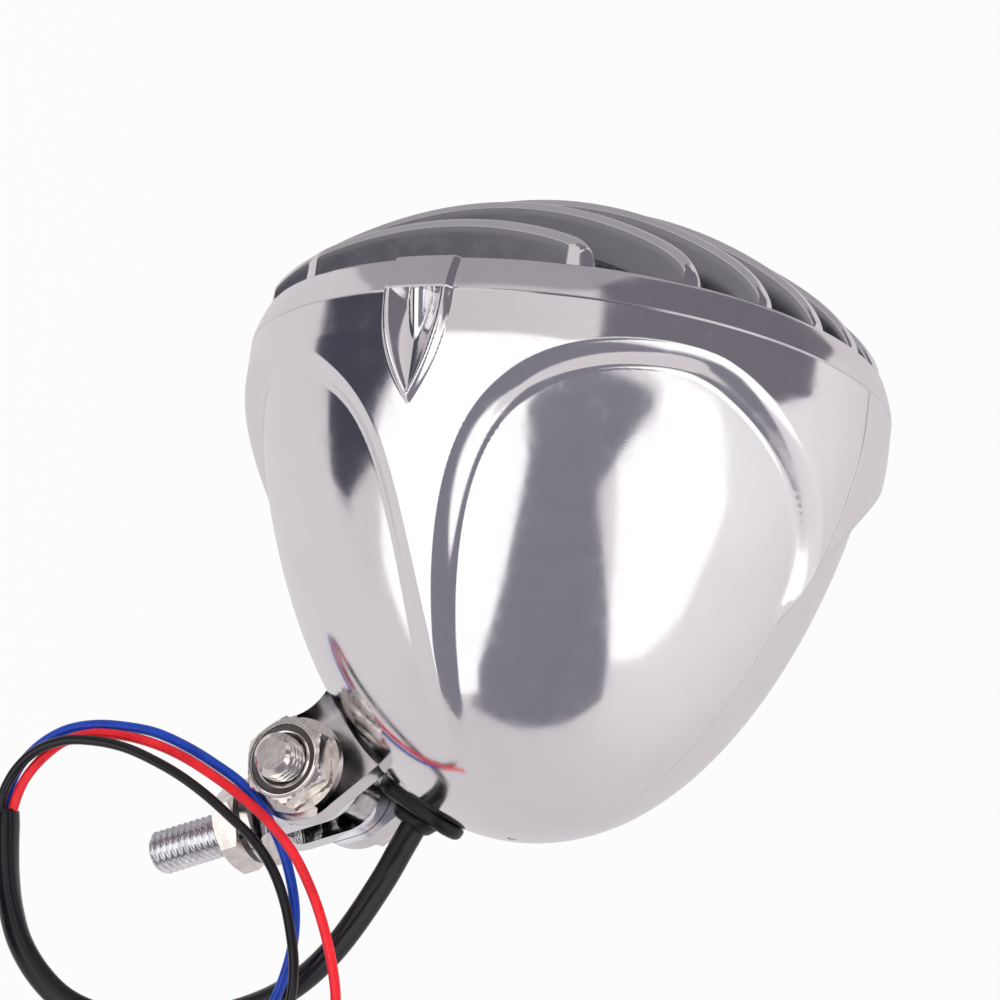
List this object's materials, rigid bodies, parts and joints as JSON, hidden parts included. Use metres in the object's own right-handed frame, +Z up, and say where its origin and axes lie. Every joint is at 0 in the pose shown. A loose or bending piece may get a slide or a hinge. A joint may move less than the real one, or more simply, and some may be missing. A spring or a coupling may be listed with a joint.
{
  "type": "round motorcycle headlight",
  "caption": "Bullet headlight with a scalloped polished shell, a finned dome grille, a clamped swivel with a threaded stud under the tail, and short wires",
  "frame": {"origin": "on the axis of the mounting stud, where its free thread starts under the nut", "axes": "+X the way the lamp shines, +Y its left side, +Z up, with the lamp level"},
  "size_m": [0.1949, 0.1422, 0.1859],
  "materials": {
    "polished_aluminium": "polished",
    "chromed_steel": "mirror",
    "plated_steel": "bright",
    "zinc_steel": "bright",
    "dark_steel": "satin",
    "steel_sheet": "satin",
    "reflector_coat": "mirror",
    "clear_glass": "clear",
    "black_rubber": "satin",
    "black_plastic": "gloss",
    "red_plastic": "gloss",
    "blue_plastic": "gloss"
  },
  "bodies": {
    "mount": {"mount_bracket": "chromed_steel", "mount_stud": "zinc_steel", "stud_nut": "plated_steel", "stud_lock_washer": "dark_steel", "stud_washer": "plated_steel"},
    "lamp": {"shell": "polished_aluminium", "grille_bezel": "polished_aluminium", "bezel_screws": "zinc_steel", "lens": "clear_glass", "lens_gasket": "black_rubber", "reflector": "reflector_coat", "retaining_ring": "steel_sheet", "ring_screws": "zinc_steel", "bulb_glass": "clear_glass", "bulb_base": "steel_sheet", "bulb_clip": "zinc_steel", "bulb_boot": "black_rubber", "bulb_connector": "black_plastic", "inner_loom": "black_plastic", "wire_grommet": "black_rubber", "pivot_bolt": "plated_steel", "pivot_nut": "plated_steel", "pivot_washers": "plated_steel", "cable_sleeve": "black_plastic", "wire_black": "black_plastic", "wire_red": "red_plastic", "wire_blue": "blue_plastic"}
  },
  "joints": [
    {"name": "tilt", "type": "hinge", "parent": "mount", "child": "lamp", "pos_m": [0.01172, 0, 0.02311], "axis": [0, 1, 0], "range_deg": [-20, 20]}
  ]
}
